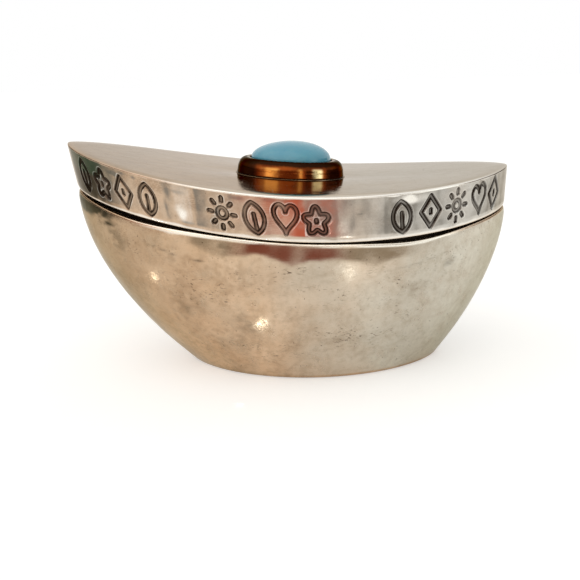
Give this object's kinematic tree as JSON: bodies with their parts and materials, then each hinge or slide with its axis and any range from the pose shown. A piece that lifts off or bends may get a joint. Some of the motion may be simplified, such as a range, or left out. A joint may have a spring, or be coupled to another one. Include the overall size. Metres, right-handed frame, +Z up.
{
  "type": "keepsake box",
  "caption": "Boat-shaped cast metal keepsake box with a saddle-shaped lift-off lid and a domed glass knob in a brass ring.",
  "frame": {"origin": "on the ground plane below the middle of the lid, which is the middle of the overall box", "axes": "+X along the length towards the lower right-hand tip, +Y towards the back, +Z up"},
  "size_m": [0.1169, 0.0736, 0.0609],
  "materials": {
    "cast_metal": "satin cast metal with fine dark pits and warm grey patina",
    "lid_metal": "finely brushed top and polished band with hand-punched marks",
    "collar_strip": "unpolished strip, dull",
    "brass": "polished, aged to a deep bronze gold",
    "backing_foil": "dull foil",
    "turquoise_glass": "near-opaque sky blue glass, polished dome",
    "washer_steel": "plain steel",
    "screw_steel": "plain steel"
  },
  "bodies": {
    "box": {"box_body": "cast_metal"},
    "lid": {"lid": "lid_metal", "lid_collar": "collar_strip", "knob_bezel": "brass", "cabochon_backing": "backing_foil", "glass_cabochon": "turquoise_glass", "knob_washer": "washer_steel", "knob_screw": "screw_steel"}
  },
  "joints": [
    {"name": "lid_lift", "type": "slide", "parent": "box", "child": "lid", "axis": [0, 0, 1], "range_m": [0, 0.06]}
  ]
}
